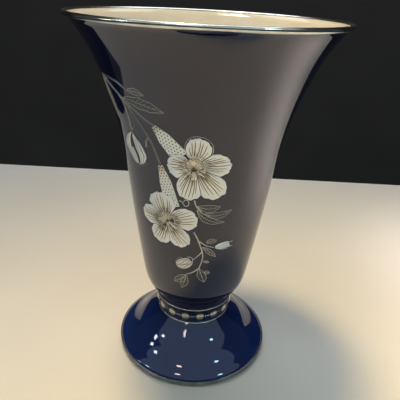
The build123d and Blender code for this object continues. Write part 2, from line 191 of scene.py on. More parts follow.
# Hearts: star and throat from the middle, fans of stamens (turns, count, start and reach),
# and lines outside a petal
UPPER_STAR = (-0.4, 1.9)
UPPER_THROAT = (-0.6, -1.3)
UPPER_FANS = ((-165, -5, 12, 2.2, 7.6), (10, 160, 8, 3.0, 5.0))
UPPER_HALOS = ((0, 1.0),)
LOWER_STAR = (-1.4, 1.6)
LOWER_THROAT = (0.2, 0.4)
LOWER_FANS = ((-80, -10, 9, 1.6, 7.6), (95, 215, 8, 2.2, 5.6))

# A heart's disc, stripes, pit at the throat, and shade under its first fan
HEART_RADIUS = 4.8
HEART_GRID = (26, 130)
HEART_EDGE_POWER = 6
STRIPES = 26
STRIPE_DEPTH = 0.08
THROAT_RADIUS = 1.1
FAN_SHADE = 1.5

# The star and the stamens that stand on a heart
STAR_RADIUS = 1.9
STAR_POINTS = 5
STAR_FORM = (0.7, 0.3)
STAR_LIFT = SILVER + 0.05
STAMEN_WIDTHS = (0.28, 0.52)
STAMEN_LIFT = SILVER + 0.24
STAMEN_STRAY = 3
STAMEN_REACH = (0.8, 0.3)
STAMEN_BEND = 0.12

# Flower tubes: both ends and the width at each, then where they swell and by how much
UPPER_TUBE = ((-9.4, 45.2), (5.2, 28.6), 3.2, 10.6)
LOWER_TUBE = ((-7.4, 21.4), (-0.6, -5.0), 3.4, 9.4)
TUBE_MARKS = (0, 0.4, 1)
TUBE_SWELL = 0.42
TUBE_STEP = 0.16
TUBE_EDGE = 0.25

# Dots punched in the tubes: pitch, the rows' share of it, size, fullness, plain border and depth
DOT_PITCH = 2.0
DOT_ROWS = 0.87
DOT_SIZE = 0.36
DOT_FULL = 1.3
DOT_BORDER = 0.12
DOT_DEPTH = 0.12

# The hanging bud's two sides from base to tip, then base, tip and width of the others, and the
# swell and power of their outline
HANGING_LEFT = (
    (-26.6, 37.6), (-29.6, 35.4), (-32.2, 32.9), (-33.9, 29.8), (-34.2, 26.7),
    (-32.6, 24.2), (-30.3, 21.3), (-28.0, 19.0), (-25.8, 17.6), (-23.0, 17.1),
)
HANGING_RIGHT = (
    (-26.2, 37.6), (-25.0, 35.7), (-23.4, 33.8), (-21.1, 31.9), (-19.3, 29.6),
    (-17.9, 26.8), (-17.0, 24.5), (-17.4, 21.9), (-19.1, 19.3), (-21.6, 17.4),
)
ROUND_BUD = ((11.2, -43.8), (1.2, -50.2), 9.6)
SIDE_BUD = ((24.0, -33.6), (33.4, -31.4), 6.0)
BUD_FORM = (2.2, 0.6)

# Folds of the buds: from and to across, engraved lines, from and to along, and shade
HANGING_FOLDS = (
    (-1.0, -0.36, 1, 0.03, 0.92, 0.0),
    (-0.32, -0.16, 0, 0.5, 0.92, 0.0),
    (-0.32, 0.12, 3, 0.14, 0.48, 0.7),
    (-0.12, 0.12, 1, 0.51, 0.92, 0.7),
    (0.16, 0.66, 1, 0.1, 0.92, 0.0),
    (0.74, 1.0, 0, 0.03, 0.95, 0.1),
    (-0.7, 0.66, 0, 0.945, 1.0, 0.0),
)
ROUND_FOLD = (-0.85, 0.85, 5, 0.16, 0.985, 0.24)
SIDE_FOLD = (-0.8, 0.8, 2, 0.1, 0.74, 0.0)

# A fold's grid, and the width and wave of its engraved lines
FOLD_ROW = 0.25
FOLD_COLUMN = 0.15
FOLD_LINE = 0.16
FOLD_WAVE = (0.06, 9, 1.9)

# The hanging bud's frill: from and to along, count, start and end of its lines, and centre
HANGING_FRILL = (0.84, 0.99, 5, 0.4, 1.9)
FRILL_CENTRE = 0.82

# Dots along the round bud's side: count, first and step along, place across, and radius
ROUND_DOTS = (9, 0.45, 0.06, -1.02, 0.24)

# Sepals of the buds: the points that each one runs through
HANGING_SEPALS = (
    ((-26.8, 38.2), (-27.6, 39.6), (-28.2, 41.3)),
    ((-26.0, 38.2), (-24.0, 40.5), (-23.0, 42.9)),
)
ROUND_SEPALS = (
    ((11.6, -43.6), (10.4, -41.6), (8.0, -41.6)),
    ((11.4, -43.9), (10.6, -46.8), (8.0, -48.6)),
)
SIDE_SEPALS = (
    ((24.4, -33.2), (27.4, -30.6), (30.7, -31.1)),
    ((24.4, -33.4), (29.2, -31.2), (33.4, -30.4)),
    ((24.4, -33.8), (29.4, -34.6), (33.2, -34.2)),
    ((24.4, -34.0), (27.4, -35.4), (30.8, -35.5)),
)

# Stems: the points that each one runs through
MAIN_STEMS = (
    ((-45.0, 67.4), (-31.4, 58.2), (-17.6, 49.6), (-9.6, 45.4)),
    ((-31.4, 58.2), (-23.8, 50.6), (-13.5, 36.8), (-7.6, 21.8)),
    ((-33.4, 60.0), (-29.4, 54.6), (-27.4, 46.6), (-26.6, 38.0)),
    ((-45.0, 67.4), (-32.4, 66.2), (-24.6, 62.8)),
    ((-13.5, 36.7), (-15.9, 34.3), (-16.4, 30.5)),
)
MIDDLE_STEM = ((12.6, 1.4), (13.8, -2.8), (17.4, -7.4))
SPRIG_STEMS = (
    ((12.2, -21.4), (14.8, -27.8), (17.4, -40.0), (15.2, -50.6)),
    ((17.2, -36.4), (14.9, -39.6), (11.6, -43.4)),
    ((15.6, -50.0), (12.0, -53.6), (7.0, -56.6)),
    ((15.2, -28.2), (19.4, -31.6), (23.8, -33.5)),
)
SCROLL = (
    (3.8, 0.1), (5.4, -0.6), (7.0, -3.1), (9.0, -2.4), (9.2, 0.4), (7.2, 1.0), (6.2, -0.6),
)

# Leaves: base, tip, width and the sideways bow of the midrib
EDGE_LEAF = ((-45.2, 66.2), (-37.4, 42.0), 4.6, -0.8)
UPPER_LEAVES = (
    ((-24.2, 62.6), (-12.8, 61.6), 3.4, 0.6),
    ((-28.6, 57.6), (-2.2, 53.7), 6.0, 0.6),
)
MIDDLE_LEAVES = (
    ((14.2, -2.6), (26.6, -2.6), 5.0, -1.6),
    ((18.0, -7.6), (32.4, -5.8), 4.4, -2.4),
    ((14.0, -5.0), (28.9, -14.2), 4.6, -2.8),
)
SPRIG_LEAVES = (
    ((17.2, -32.8), (24.6, -41.2), 3.2, 0.4),
    ((19.4, -29.4), (25.2, -27.6), 3.4, 0.2),
    ((17.6, -44.6), (21.0, -45.4), 1.8, 0.0),
    ((15.4, -51.0), (18.3, -63.0), 5.0, -0.2),
    ((17.8, -54.0), (21.4, -55.0), 3.0, 0.2),
    ((6.6, -57.0), (-1.3, -64.6), 5.4, 0.6),
    ((7.0, -57.2), (3.6, -69.4), 4.6, 0.4),
)

# Line work of a leaf: rim with teeth, midrib, and side ribs with their roots, slant and reach
LEAF_RIM = (0.36, 0.3)
LEAF_TEETH = 3.5
MIDRIB = (0.36, 0.2)
MIDRIB_END = 0.96
RIBS = 7
RIB_WIDTHS = (0.22, 0.14)
RIB_ROOTS = (0.12, 0.72)
RIB_SLANT = 0.16
RIB_REACH = 0.86

# Uneven colours, from dark to light
BODY_BLUE = ((0.0030, 0.0055, 0.026), (0.0038, 0.0070, 0.034))
# The foot's blue is the glaze's own cobalt with painted light, brighter where the foot faces up
# to the lamps
FOOT_BLUE_WITH_PAINTED_LIGHT = ((0.007, 0.018, 0.092), (0.009, 0.024, 0.118))
CREAM = ((0.76, 0.70, 0.60), (0.82, 0.77, 0.68))
CLAY = ((0.58, 0.52, 0.44), (0.72, 0.67, 0.58))
SLIP = ((0.02, 0.02, 0.05), (0.04, 0.04, 0.09))
HIGH_SILVER = ((0.54, 0.55, 0.51), (0.72, 0.74, 0.72))
LOW_DARK_SILVER = ((0.13, 0.15, 0.16), (0.27, 0.29, 0.29))
FLOOR = ((0.78, 0.74, 0.70), (0.82, 0.78, 0.74))
BACKDROP = ((0.066, 0.059, 0.059), (0.086, 0.077, 0.077))
TINT_STOPS = (0.3, 0.7)
GLAZE_STOPS = (0.35, 0.65)

# Engraved silver, from its rims to its cut lines
# The bluish rim colours of satin and bud silver are a painted reflection of the cool ceiling
# light
SATIN_WITH_PAINTED_REFLECTION = ((0.68, 0.80, 0.92), (0.70, 0.76, 0.82), (0.40, 0.38, 0.32), (0.025, 0.023, 0.02))
LINED = ((0.56, 0.57, 0.54), (0.52, 0.52, 0.48), (0.26, 0.25, 0.22), (0.03, 0.026, 0.02))
WARM = ((0.88, 0.89, 0.84), (0.78, 0.79, 0.72), (0.36, 0.34, 0.28), (0.025, 0.023, 0.02))
# Hanging bud: a brighter, bluer copy of satin silver, with painted light and painted reflection
BUD_SILVER_PAINTED_LIGHT = ((0.90, 0.95, 1.0), (0.88, 0.93, 0.98), (0.36, 0.37, 0.36), (0.03, 0.03, 0.025))
BEADED = ((0.66, 0.70, 0.66), (0.58, 0.59, 0.50), (0.40, 0.39, 0.31), (0.03, 0.026, 0.02))
SILVER_STOPS = (0.08, 0.28, 0.55, 0.95)
SILVER_WEAR = 0.06

# Camera: place in metres, then how far it looks down, to the right and leans over
CAMERA_PLACE = (0.0, -0.2729, 0.25212)
CAMERA_PITCH = 25.89
CAMERA_YAW = 0.169
CAMERA_ROLL = 3.12
CAMERA_LENS = 38.7
SENSOR = 36.0

# Stage, in metres
FLOOR_BACK = 0.335
FLOOR_FRONT = -1.1
FLOOR_LEFT = -0.34
FLOOR_RIGHT = 0.46
BACKDROP_PLACE = 1.5
BACKDROP_HALF = 3.2
BACKDROP_LOW = -1.6
BACKDROP_HIGH = 2.4
VASE_MIDDLE = (0.0, 0.0, 0.1)

# Lights, in metres and watts: name, place, aim, size, power, colour, any spread and shape
LIGHTS = (
    ("key", (-0.40, 0.22, 2.5), (0.137, -0.255, 0.0), (0.45, 0.45),
     1.65, (1.0, 0.73, 0.34), 30),
    ("side_pool", (0.34, 0.05, 0.45), (0.34, 0.05, 0.0), (0.14, 0.26),
     0.24, (1.0, 0.88, 0.85), 40),
    ("ceiling", (0.0, -1.3, 1.5), (0.0, -1.3, 0.0), (5.4, 3.0),
     18.5, (0.82, 1.0, 1.0), 180, "ELLIPSE"),
    ("back_fill", (0.0, 1.4, 1.9), VASE_MIDDLE, (2.0, 1.5),
     26, (0.94, 0.97, 1.0)),
)

# Small lamps about the vase: name, turn from the front, rise above level, power and colour
LAMPS = (
    ("left_low", -76, 25, 0.45, (1.0, 1.0, 1.0)),
    ("left_high", -67, 37, 0.5, (0.95, 1.0, 1.0)),
    ("right_high", 51, 47, 0.5, (0.6, 1.0, 1.0)),
    ("front_high", -25, 62, 0.5, (1.0, 0.78, 0.66)),
)
LAMP_AWAY = 1.2
LAMP_SIZE = 0.1

random = np.random.default_rng(SEED)


# Profiles: rows of radius, height and lean, walked with the outside on the right


def inset(place, depth):
    """A station moved in from the outside."""
    radius, height, lean = place
    return radius - depth * cos(radians(lean)), height + depth * sin(radians(lean)), lean


def arc(start, lean, end):
    """Rows along the arc that leaves start at a lean, in radians, and reaches end."""
    ahead = (sin(lean), cos(lean))
    chord = (end[0] - start[0], end[1] - start[1])
    length = hypot(*chord)
    aside = ahead[0] * chord[1] - ahead[1] * chord[0]
    sweep = 2 * atan2(aside, ahead[0] * chord[0] + ahead[1] * chord[1])
    count = max(int(length * (1 + abs(sweep)) / PROFILE_STEP), FEWEST_ROWS)
    share = np.linspace(0, 1, count)
    half = sweep * share / 2
    straight = abs(sweep) < 1e-9
    reach = length * share if straight else length * np.sin(half) / sin(sweep / 2)
    radius = start[0] + reach * (ahead[0] * np.cos(half) - ahead[1] * np.sin(half))
    height = start[1] + reach * (ahead[0] * np.sin(half) + ahead[1] * np.cos(half))
    return np.stack([radius, height, lean - sweep * share], 1)


def two_arcs(low, high):
    """Two tangent arcs from one station to the next, keeping both leans."""
    leave = np.array([sin(radians(low[2])), cos(radians(low[2]))])
    arrive = np.array([sin(radians(high[2])), cos(radians(high[2]))])
    chord = np.subtract(high[:2], low[:2])
    both = chord @ (leave + arrive)
    bend = 2 * (1 - leave @ arrive)
    reach = chord @ chord / (both + sqrt(both ** 2 + bend * (chord @ chord)))
    middle = (np.array(low[:2]) + high[:2] + reach * (leave - arrive)) / 2
    lower = arc(low[:2], radians(low[2]), middle)
    upper = arc(middle, lower[-1, 2], high[:2])
    return np.vstack([lower, upper[1:]])


def profile(*stations):
    rows = [two_arcs(low, high) for low, high in zip(stations, stations[1:])]
    return np.vstack([rows[0]] + [more[1:] for more in rows[1:]])


def backward(rows):
    return rows[::-1] - (0, 0, pi)


def lengths(rows):
    """How far along a line each of its points lies."""
    steps = np.hypot(np.diff(rows[:, 0]), np.diff(rows[:, 1]))
    return np.concatenate([[0], np.cumsum(steps)])


def at_length(rows, along):
    walked = lengths(rows)
    return np.stack([np.interp(along, walked, rows[:, column]) for column in range(3)], -1)


def stretch(rows, first, last):
    """The part of a profile between two lengths along it, finely stepped."""
    return at_length(rows, np.linspace(first, last, int((last - first) / BAND_STEP) + 2))


def shifted(rows, offset):
    """Radius and height of a profile moved out by an offset."""
    radius = rows[:, 0] + offset * np.cos(rows[:, 2])
    height = rows[:, 1] - offset * np.sin(rows[:, 2])
    return np.stack([radius, height], 1)


lip_cover = SILVER + BOND
lip_round = LIP_THICKNESS / 2
lip_radius = cad_box[1].x / MM
lip_height = cad_box[1].z / MM
lip_centre = (lip_radius - lip_cover - lip_round, lip_height - lip_cover - lip_round, LIP_LEAN)
lip_outside = inset(lip_centre, -lip_round)
lip_inside = inset(lip_centre, lip_round)
under_glaze = GLAZE + BOND
seat_height = inset(SEAM, under_glaze)[1]
neck_top = seat_height - SLIP_THICKNESS
floor_centre = (0.0, seat_height + FLOOR_WALL, 90.0)

curl = (lip_outside[0] - CURL_DROP[0], lip_outside[1] - CURL_DROP[1], CURL_LEAN)
body_side = profile(SEAM, HEEL, BELLY, WAIST, FLARE, curl, lip_outside)
body_inside = profile(
    floor_centre,
    inset(BELLY, BELLY_WALL),
    inset(WAIST, WAIST_WALL),
    inset(FLARE, FLARE_WALL),
    inset(curl, LIP_THICKNESS),
    lip_inside,
)
lip = arc(lip_outside[:2], radians(LIP_LEAN), lip_inside[:2])
inside_down = backward(body_inside)
foot_edge = profile(FOOT_UNDER, FOOT_EDGE, BRIM, BELL, DOME, CORNER, COLLAR_LOW)
collar = profile(COLLAR_LOW, COLLAR_TOP)
neck = profile(COLLAR_TOP, (SEAM[0] + NECK_FLARE[0], neck_top, NECK_FLARE[1]))
foot_side = np.vstack([foot_edge, collar[1:], neck[1:]])
foot_hollow = profile(
    (RING_INSIDE, 0.0, HOLLOW_LEAN),
    inset(BELL, FOOT_WALL),
    inset(DOME, FOOT_WALL),
    NECK_BORE,
)
side_lengths = lengths(body_side)
spray_middle = (SEAM[1] + lip_outside[1]) / 2 - SPRAY_DROP


# Meshes


def finish_mesh(name, mesh, finish, nodes, sharp):
    """Merge, turn the faces outward, shade smooth and hand the piece to the frame."""
    material, slot = finish
    work = bmesh.new()
    work.from_mesh(mesh)
    bmesh.ops.remove_doubles(work, verts=work.verts, dist=1e-8)
    bmesh.ops.dissolve_degenerate(work, edges=work.edges, dist=1e-9)
    bmesh.ops.recalc_face_normals(work, faces=work.faces)
    work.to_mesh(mesh)
    work.free()
    mesh.polygons.foreach_set("use_smooth", [True] * len(mesh.polygons))
    mesh.set_sharp_from_angle(angle=radians(sharp))
    mesh.materials.append(material)
    piece = bpy.data.objects.new(name, mesh)
    bpy.context.scene.collection.objects.link(piece)
    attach(piece, "root")
    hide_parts(*nodes)


def lathe(name, section, finish, *nodes):
    """A closed section of radius and height, turned about the axis."""
    section = np.asarray(section)
    turns = np.arange(SEGMENTS) * tau / SEGMENTS
    rows = len(section)
    points = np.empty((rows, SEGMENTS, 3))
    points[..., 0] = section[:, :1] * np.cos(turns)
    points[..., 1] = section[:, :1] * np.sin(turns)
    points[..., 2] = section[:, 1:]
    here = np.arange(rows * SEGMENTS).reshape(rows, SEGMENTS)
    above = np.roll(here, -1, axis=0)
    faces = np.stack([here, np.roll(here, -1, axis=1), np.roll(above, -1, axis=1), above], -1)
    mesh = bpy.data.meshes.new(name)
    mesh.from_pydata((points.reshape(-1, 3) * MM).tolist(), [], faces.reshape(-1, 4).tolist())
    finish_mesh(name, mesh, finish, nodes, sharp=40)


def rounded(border, base=0.0, width=EDGE_ROUND):
    """Share of the full height at a distance from a border, where it starts at a base."""
    return base + (1 - base) * np.sqrt(1 - (1 - np.clip(border / width, 0, 1)) ** 2)


def dome(share, power=2):
    """A round top that keeps a little height at its edge."""
    return np.sqrt(ROUND_TOP - share ** power)


def disc(rings, turns):
    """Shares from a disc's middle to its edge, and turns round it."""
    return np.linspace(0, 1, rings)[:, None], np.arange(turns) * tau / turns


def coat(rows, inner, outer):
    return np.vstack([shifted(rows, outer), shifted(backward(rows), -inner)])


def band(rows, height):
    """A silver band along a profile, with softly rounded edges."""
    walked = lengths(rows)
    rise = BOND + height * rounded(np.minimum(walked, walked[-1] - walked))
    return np.vstack([shifted(rows, rise), shifted(rows, BOND)[::-1]])


def on_rows(rows, along, turn, height):
    """Points a length along a profile, at a turn from the front and a height above it."""
    place = at_length(rows, along)
    reach = place[..., 0] + height * np.cos(place[..., 2])
    level = place[..., 1] - height * np.sin(place[..., 2])
    return np.stack([reach * np.sin(turn), -reach * np.cos(turn), level], -1)


def on_spray(x, y, height):
    """Flat drawing points carried straight on to the body's side."""
    level = spray_middle + np.asarray(y, float)
    radius = np.interp(level, body_side[:, 1], body_side[:, 0])
    along = np.interp(level, body_side[:, 1], side_lengths)
    turn = radians(SPRAY_TURN) + np.arcsin(np.asarray(x) / radius)
    return on_rows(body_side, along, turn, height)


def on_collar(turn, along, height):
    return on_rows(collar, along, turn, height)


def heading(points):
    """Which way a line runs at each of its points."""
    slope = np.gradient(points, axis=0)
    return slope / np.hypot(slope[:, 0], slope[:, 1])[:, None]


class Overlay:
    """Silver of one piece, gathered from closed sheets that each lie over a grid of points.

    A tone runs from nought, bright silver, to one, the dark of a cut line.
    """

    def __init__(self):
        self.points = []
        self.faces = []
        self.tones = []
        self.count = 0

    def sheet(self, x, y, height, tone=0.0, lift=0.0, closed=False, on=on_spray):
        """A sheet over drawing points, from the glaze or a lift above it to its heights."""
        base = on(x, y, BOND + lift)
        top = on(x, y, BOND + lift + height)
        rows, columns = top.shape[:2]
        tone = np.broadcast_to(tone, (rows, columns))
        upper = np.arange(rows * columns).reshape(rows, columns) + self.count
        lower = upper + rows * columns
        around = np.concatenate([upper, upper[:, :1]], 1) if closed else upper
        under = np.concatenate([lower, lower[:, :1]], 1) if closed else lower
        self.quads(around[:-1, :-1], around[:-1, 1:], around[1:, 1:], around[1:, :-1])
        self.quads(under[:-1, :-1], under[1:, :-1], under[1:, 1:], under[:-1, 1:])
        self.quads(around[-1, :-1], around[-1, 1:], under[-1, 1:], under[-1, :-1])
        if not closed:
            self.quads(around[0, 1:], around[0, :-1], under[0, :-1], under[0, 1:])
            self.quads(around[:-1, 0], around[1:, 0], under[1:, 0], under[:-1, 0])
            self.quads(around[1:, -1], around[:-1, -1], under[:-1, -1], under[1:, -1])
        self.points += [top.reshape(-1, 3), base.reshape(-1, 3)]
        self.tones += [tone.reshape(-1)] * 2
        self.count += 2 * rows * columns

    def quads(self, *corners):
        self.faces.append(np.stack(corners, -1).reshape(-1, 4))

    def line(self, points, widths, height=LINE_HEIGHT, tone=0.0, lift=0.0):
        """A raised line with a round top, drawn through flat points."""
        middle = np.asarray(points, float)
        slope = heading(middle)
        share = np.linspace(0, 1, len(middle))
        half = (widths[0] + (widths[1] - widths[0]) * share) / 2
        x = middle[:, :1] - slope[:, 1:] * half[:, None] * LINE_SECTION
        y = middle[:, 1:] + slope[:, :1] * half[:, None] * LINE_SECTION
        self.sheet(x, y, height * dome(LINE_SECTION), tone, lift)

    def dot(self, place, radius):
        ring, turn = disc(rings=4, turns=10)
        x = place[0] + radius * ring * np.cos(turn)
        y = place[1] + radius * ring * np.sin(turn)
        self.sheet(x, y, DOT_HEIGHT * dome(ring), closed=True)

    def make(self, node, finish):
        """The piece, named after the node that it replaces."""
        points = np.vstack(self.points) * MM
        name = node + "_silver"
        mesh = bpy.data.meshes.new(name)
        mesh.from_pydata(points.tolist(), [], np.vstack(self.faces).tolist())
        layer = mesh.attributes.new("tone", "FLOAT", "POINT")
        layer.data.foreach_set("value", np.concatenate(self.tones).astype(np.float32))
        finish_mesh(name, mesh, finish, (node,), sharp=60)


def smooth(points):
    """A smooth line through points, evenly stepped."""
    points = np.asarray(points, float)
    ends = np.vstack([2 * points[0] - points[1], points, 2 * points[-1] - points[-2]])
    share = np.linspace(0, 1, num=24, endpoint=False)[:, None]
    runs = []
    for a, b, c, d in zip(ends, ends[1:], ends[2:], ends[3:]):
        runs.append(b + share * (c - a) / 2 + share ** 2 * (a - 2.5 * b + 2 * c - d / 2)
                    + share ** 3 * (1.5 * (b - c) + (d - a) / 2))
    dense = np.vstack(runs + [points[-1:]])
    walked = lengths(dense)
    marks = np.linspace(0, walked[-1], max(int(walked[-1] / LINE_STEP), 3) + 1)
    return np.stack([np.interp(marks, walked, dense[:, k]) for k in (0, 1)], 1)


def beside(points, offset):
    """A line moved sideways."""
    slope = heading(points)
    return points + offset * np.stack([-slope[:, 1], slope[:, 0]], 1)


def wave(value, width):
    """A soft line profile: one at zero, fading over the width."""
    return np.exp(-(value / width) ** 2)


def vein_cuts(share, place, spread, radius):
    """Engraved lines along a petal, long and short by turns, over its grid."""
    cuts = np.zeros_like(radius)
    for vein in range(2 * VEINS - 1):
        long = vein % 2 == 0
        across = (vein + 1) / (2 * VEINS) + VEIN_STRAY * random.normal()
        bend = VEIN_BEND * random.normal() * np.sin(share * pi)
        middle = 0.5 + (across - 0.5) * (VEIN_FAN[0] - VEIN_FAN[1] * share) + bend
        begin = VEIN_START * random.random() if long else 0.0
        end = VEIN_END[0] - VEIN_END[1] * abs(2 * across - 1) ** 2 if long else VEIN_SHORT
        end = end + VEIN_RAGGED * random.normal()
        aside = (place - middle) * spread * radius
        fade_in = np.clip((share - begin) / VEIN_FADES[0], 0, 1)
        fade_out = np.clip((end - share) / VEIN_FADES[1], 0, 1) ** 0.5
        line = wave(aside, VEIN_WIDTH[0] + VEIN_WIDTH[1] * share)
        cuts = np.maximum(cuts, fade_in * fade_out * line)
    return cuts


class Blossom:
    """Five rounded petals about a heart, in the flat drawing."""

    def __init__(self, heart, petals):
        self.heart = heart
        self.petals = petals

    def spread(self, reach, width):
        """The angle from a petal's middle at which its outline closes."""
        return PETAL_OPENING * atan2(width / 2, PETAL_WIDEST * reach)

    def outline(self, petal, angle):
        direction, reach, width = petal[:3]
        off = (angle - radians(direction) + pi) % tau - pi
        share = np.clip(np.abs(off) / self.spread(reach, width), 0, 1)
        return reach * (1 - share ** PETAL_SHARPNESS) ** PETAL_ROUNDNESS

    def holds(self, x, y):
        """Whether flat points lie on the blossom or in the parting round it."""
        across = np.asarray(x) - self.heart[0]
        up = np.asarray(y) - self.heart[1]
        angle = np.arctan2(up, across)
        reach = np.max([self.outline(petal, angle) for petal in self.petals], axis=0)
        return np.hypot(across, up) < np.maximum(reach, HEART_RADIUS) + PARTING

    def limits(self, number):
        """How far a petal reaches round, to its neighbours or to its own sides."""
        direction, reach, width = self.petals[number][:3]
        following = self.petals[(number + 1) % len(self.petals)]
        before = radians((self.petals[number - 1][0] - direction) % 360) / 2
        after = radians((direction - following[0]) % 360) / 2
        root = ((HEART_RADIUS + ROOT_RISE) / reach) ** (1 / PETAL_ROUNDNESS)
        side = self.spread(reach, width) * (1 - root) ** (1 / PETAL_SHARPNESS)
        return -min(after, side), min(before, side)

    def rim_line(self, number, outside):
        """A line that runs round a petal's end, a little outside it."""
        angle = radians(self.petals[number][0]) + np.linspace(*self.limits(number), num=60)
        radius = self.outline(self.petals[number], angle) + outside
        points = np.stack([radius * np.cos(angle), radius * np.sin(angle)], 1)
        return points + np.array(self.heart)

    def draw_petal(self, overlay, number):
        """One petal of satin silver with engraved veins that fan out from the heart."""
        direction, reach, _, shade = self.petals[number]
        low, high = self.limits(number)
        spread = high - low
        columns = int(spread * reach * PETAL_MIDDLE / PETAL_COLUMN)
        share = np.linspace(0, 1, int(reach / PETAL_ROW))[:, None]
        place = np.linspace(0, 1, columns)[None, :]
        root = HEART_RADIUS + PARTING
        off = low + spread * place
        ripple = 1.0
        for depth, waves, step in RIPPLES:
            ripple = ripple + depth * np.sin(off * waves + number * step)
        rim = self.outline(self.petals[number], radians(direction) + off)
        rim = np.maximum(rim * ripple, root + SHORTEST_PETAL)
        radius = root + (rim - root) * share
        gap = PARTING / 2 / radius
        angle = radians(direction) + low + gap + (spread - 2 * gap) * place
        x = self.heart[0] + radius * np.cos(angle)
        y = self.heart[1] + radius * np.sin(angle)
        cuts = vein_cuts(share, place, spread, radius)
        border = np.minimum(rim - radius, np.minimum(place, 1 - place) * spread * radius)
        height = SILVER * rounded(border, PETAL_EDGE) - ENGRAVED * cuts
        height = height + PETAL_SWELL * np.sin(share * pi) * np.sin(place * pi)
        stipple = shade * wave(share, 0.36) * (0.5 + random.random(x.shape))
        # Painted reflection: a petal's tone rises from its bluish edges, like the cool ceiling
        # light, to a creamier middle
        body = np.clip(border / 3.0, 0, 1) ** 0.7
        tone = 0.2 * body + 0.95 * cuts + stipple + 0.4 * wave(border, 0.15)
        overlay.sheet(x, y, height, np.clip(tone, 0, 1))


upper_blossom = Blossom(UPPER_HEART, UPPER_PETALS)
lower_blossom = Blossom(LOWER_HEART, LOWER_PETALS)


def uncovered(points):
    """The points of a line that lie outside both blossoms."""
    across, up = points.T
    return points[~(upper_blossom.holds(across, up) | lower_blossom.holds(across, up))]


def farthest(test, end, tries=14):
    """The share from nought to end, for each entry, up to which a test stays false."""
    low = np.zeros(np.shape(end))
    high = np.array(end, float)
    hit = test(high)
    for _ in range(tries):
        middle = (low + high) / 2
        inside = test(middle)
        low = np.where(inside, low, middle)
        high = np.where(inside, middle, high)
    return np.where(hit, low, end)


def draw_tube(overlay, start, end, stalk, mouth, blossoms):
    """A swelling flower tube with staggered rows of punched dots, ended at the blossoms."""
    length = hypot(end[0] - start[0], end[1] - start[1])
    ahead = np.subtract(end, start) / length

    def half(along):
        return np.interp(along, TUBE_MARKS, (stalk / 2, mouth * TUBE_SWELL, mouth / 2))

    def spot(along, across):
        x = start[0] + ahead[0] * length * along - ahead[1] * half(along) * across
        y = start[1] + ahead[1] * length * along + ahead[0] * half(along) * across
        return x, y

    def covered(along):
        return np.any([blossom.holds(*spot(along, across)) for blossom in blossoms], axis=0)

    across = np.linspace(-1, 1, int(mouth / TUBE_STEP))[None, :]
    last = farthest(covered, np.ones_like(across))
    along = np.linspace(0, 1, int(length / TUBE_STEP))[:, None] * last
    x, y = spot(along, across)
    row = along * length / (DOT_PITCH * DOT_ROWS)
    column = across * half(along) / DOT_PITCH + 0.5 * (np.round(row) % 2)
    lengthways = (row - np.round(row)) * DOT_PITCH * DOT_ROWS
    sideways = (column - np.round(column)) * DOT_PITCH
    rim = 1 - np.abs(across)
    pits = np.clip(DOT_FULL * wave(np.hypot(lengthways, sideways), DOT_SIZE), 0, 1)
    pits = pits * (rim > DOT_BORDER)
    arch = SWELL * np.sqrt(np.clip(1 - across ** 2, 0, 1))
    height = SILVER * rounded(rim, SOFT_EDGE, TUBE_EDGE) + arch - DOT_DEPTH * pits
    tone = 0.1 + 0.9 * pits + 0.4 * wave(rim, 0.06) + 0.3 * wave(along, 0.2)
    overlay.sheet(x, y, height, np.clip(tone, 0, 1))


def lens(base, tip, width, bow, along, across):
    """A point of a bowed leaf blade, along it from base to tip and across it from -1 to 1."""
    span = np.subtract(tip, base)
    ahead = span / hypot(*span)
    off = 4 * along * (1 - along) * (bow + across * width / 2)
    x = base[0] + span[0] * along - ahead[1] * off
    y = base[1] + span[1] * along + ahead[0] * off
    return np.stack([x, y], -1)


def draw_leaf(overlay, blade, teeth):
    """A leaf in line work: its rim, midrib and slanting side ribs."""

    def draw(along, across, widths, **style):
        run = uncovered(lens(*blade, along, across))
        if len(run) > 2:
            overlay.line(run, widths, **style)

    base, tip = blade[:2]
    length = hypot(tip[0] - base[0], tip[1] - base[1])
    along = np.linspace(0.0, 1.0, max(int(length / LINE_STEP), 8))
    notch = 1 + teeth * np.abs(np.sin(along * pi * LEAF_TEETH)) - teeth / 2
    reach = np.linspace(0, RIB_REACH, num=8)
    for side in (-1, 1):
        draw(along, side * notch, LEAF_RIM, tone=0.1)
        for rib in range(RIBS):
            root = RIB_ROOTS[0] + RIB_ROOTS[1] * rib / RIBS
            rising = root + RIB_SLANT * reach
            draw(rising, side * reach, RIB_WIDTHS, height=0.1, tone=0.3)
    draw(along * MIDRIB_END, 0.0 * along, MIDRIB, tone=0.1)


# Materials


